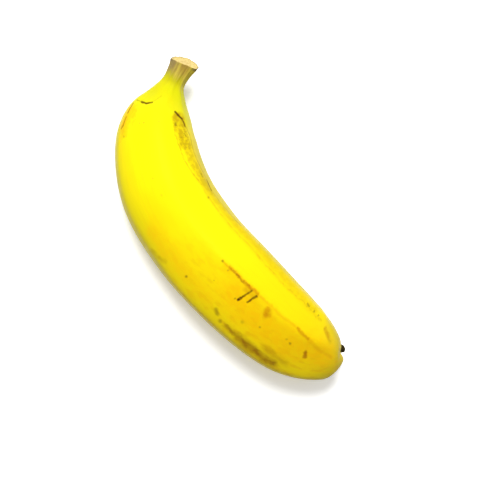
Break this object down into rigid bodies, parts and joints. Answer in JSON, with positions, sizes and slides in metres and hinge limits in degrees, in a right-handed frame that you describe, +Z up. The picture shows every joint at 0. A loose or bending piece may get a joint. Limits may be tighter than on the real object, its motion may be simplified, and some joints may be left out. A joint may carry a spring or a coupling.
{
  "type": "banana",
  "caption": "Ripe banana lying on its side: a curved fruit with soft ridges, a blunt blossom end with a dried nub, a tapering neck and a cut stem.",
  "frame": {"origin": "middle of the bounding box, on the surface the banana lies on", "axes": "+Z up from that surface, +X along the fruit from the cut stem to the blossom end, +Y towards the hollow of the bend"},
  "size_m": [0.1473, 0.0572, 0.0365],
  "materials": {
    "peel": "smooth and slightly waxy, low gloss"
  },
  "bodies": {
    "root": {"banana": "peel"}
  },
  "joints": []
}
